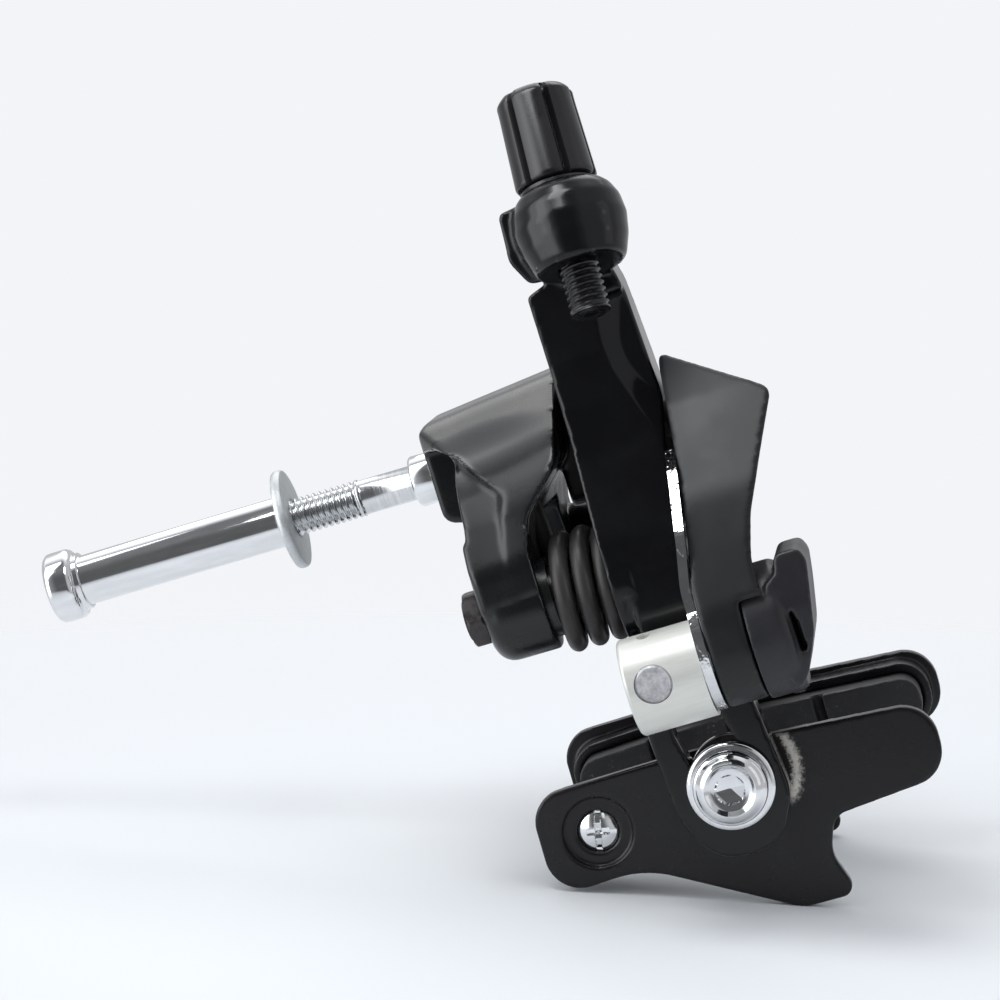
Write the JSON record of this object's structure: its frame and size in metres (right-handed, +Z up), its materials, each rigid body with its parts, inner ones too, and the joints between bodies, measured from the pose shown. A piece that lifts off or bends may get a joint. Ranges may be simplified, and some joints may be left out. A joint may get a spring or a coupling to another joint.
{
  "type": "dual pivot rim brake caliper",
  "caption": "Dual pivot rim brake caliper with bracket, mounting bolt and sleeve nut, two linked arms, cable adjuster, quick release and height-adjustable shoes.",
  "frame": {"origin": "on the mounting bolt's axis, in the seat collar that meets the fork crown", "axes": "+Y along the mounting bolt towards the rear of the bicycle, +Z up with the shoes below, -X the cable side"},
  "size_m": [0.0999, 0.1294, 0.1304],
  "materials": {
    "black_paint": "glossy black paint on forged aluminium",
    "dark_paint": "satin near-black paint on forged aluminium",
    "bright_steel": "turned steel",
    "bright_chrome": "polished chrome plate",
    "grey_washer": "matt grey aluminium",
    "dark_plastic": "acetal",
    "spring_steel": "black coated spring steel",
    "dark_steel": "blackened steel",
    "grey_steel": "dull zinc plate",
    "black_barrel": "black plated thread",
    "black_knob": "satin black moulding",
    "black_lever": "matt black",
    "silver_anodised": "satin champagne anodising",
    "bronze": "plain bearing bronze",
    "black_anodised": "satin black anodising",
    "pad_rubber": "moulded brake rubber"
  },
  "bodies": {
    "bracket_body": {"bracket": "black_paint", "mounting_bolt": "bright_steel", "seat_collar": "bright_steel", "spring_spacer": "dark_plastic", "return_spring": "spring_steel", "left_pivot_bolt": "dark_steel", "left_pivot_nut": "dark_steel", "right_pivot_bolt": "dark_steel", "right_pivot_nut": "dark_steel"},
    "nut_body": {"sleeve_nut": "bright_chrome"},
    "washer_body": {"fork_washer": "grey_washer"},
    "adjuster_arm_body": {"adjuster_arm": "black_paint", "cam_pad": "bright_steel", "centring_screw": "dark_steel", "left_pivot_bush": "bronze", "detent_washer": "bright_steel"},
    "knob_body": {"adjusting_knob": "black_knob"},
    "barrel_body": {"adjusting_barrel": "black_barrel"},
    "front_arm_body": {"front_arm": "dark_paint", "right_pivot_bush": "bronze", "link_pin": "dark_steel", "anchor_plate": "bright_chrome", "lever_stop_pin": "dark_steel"},
    "roller_body": {"link_roller": "bright_steel"},
    "release_body": {"release_lever": "black_lever", "release_shaft": "bright_steel"},
    "anchor_block_body": {"anchor_block": "silver_anodised", "clamp_bolt": "grey_steel"},
    "left_slider_body": {"left_outer_washer": "bright_chrome", "left_concave_washer": "dark_steel"},
    "left_shoe_body": {"left_shoe_holder": "black_anodised", "left_pad": "pad_rubber", "left_pad_screw": "bright_chrome", "left_shoe_bolt": "bright_chrome", "left_convex_washer": "bright_steel"},
    "right_slider_body": {"right_outer_washer": "bright_chrome", "right_concave_washer": "dark_steel"},
    "right_shoe_body": {"right_shoe_holder": "black_anodised", "right_pad": "pad_rubber", "right_pad_screw": "bright_chrome", "right_shoe_bolt": "bright_chrome", "right_convex_washer": "bright_steel"}
  },
  "joints": [
    {"name": "adjuster_arm_pivot", "type": "hinge", "parent": "bracket_body", "child": "adjuster_arm_body", "pos_m": [-0.027, -0.0339, -0.0204], "axis": [0, -1, 0], "range_deg": [0, 8], "stiffness_Nm_per_rad": 0.5, "springref_deg": -34.38, "deforming": ["return_spring"]},
    {"name": "front_arm_pivot", "type": "hinge", "parent": "bracket_body", "child": "front_arm_body", "pos_m": [0.027, -0.0339, -0.0204], "axis": [0, 1, 0], "range_deg": [0, 8]},
    {"name": "nut_unscrew", "type": "slide", "parent": "bracket_body", "child": "nut_body", "axis": [0, 1, 0], "range_m": [0, 0.08]},
    {"name": "washer_slide", "type": "slide", "parent": "bracket_body", "child": "washer_body", "axis": [0, 1, 0], "range_m": [0, 0.04]},
    {"name": "knob_turn", "type": "hinge", "parent": "adjuster_arm_body", "child": "knob_body", "pos_m": [-0.036, -0.0364, 0.0315], "axis": [0.3256, 0, 0.9455], "range_deg": [-1080.5, 1080.5]},
    {"name": "barrel_travel", "type": "slide", "parent": "adjuster_arm_body", "child": "barrel_body", "axis": [0.3256, 0, 0.9455], "range_m": [-0.003, 0.003]},
    {"name": "link_roller_spin", "type": "hinge", "parent": "front_arm_body", "child": "roller_body", "pos_m": [0, -0.0339, -0.00225], "axis": [0, 1, 0], "continuous": true},
    {"name": "release_lever_turn", "type": "hinge", "parent": "front_arm_body", "child": "release_body", "pos_m": [-0.049, -0.045, -0.0312], "axis": [0, 1, 0], "range_deg": [0, 100]},
    {"name": "anchor_block_swivel", "type": "hinge", "parent": "release_body", "child": "anchor_block_body", "pos_m": [-0.049, -0.034, -0.034], "axis": [0, 1, 0], "range_deg": [-100, 0]},
    {"name": "left_shoe_height", "type": "slide", "parent": "adjuster_arm_body", "child": "left_slider_body", "axis": [0, 0.2198, 0.9755], "range_m": [-0.0015, 0.0095]},
    {"name": "left_shoe_pitch", "type": "hinge", "parent": "left_slider_body", "child": "left_shoe_body", "pos_m": [-0.03, -0.0354, -0.0538], "axis": [1, 0, 0], "range_deg": [-8, 8]},
    {"name": "right_shoe_height", "type": "slide", "parent": "front_arm_body", "child": "right_slider_body", "axis": [0, 0.2198, 0.9755], "range_m": [-0.0015, 0.0095]},
    {"name": "right_shoe_pitch", "type": "hinge", "parent": "right_slider_body", "child": "right_shoe_body", "pos_m": [0.03, -0.0354, -0.0538], "axis": [1, 0, 0], "range_deg": [-8, 8]}
  ],
  "couplings": [
    {"joint": "front_arm_pivot", "follows": "adjuster_arm_pivot", "ratio": 1},
    {"joint": "washer_slide", "follows": "nut_unscrew", "ratio": 0.5},
    {"joint": "knob_turn", "follows": "barrel_travel", "rad_per_m": -6283.2},
    {"joint": "anchor_block_swivel", "follows": "release_lever_turn", "ratio": -1}
  ]
}
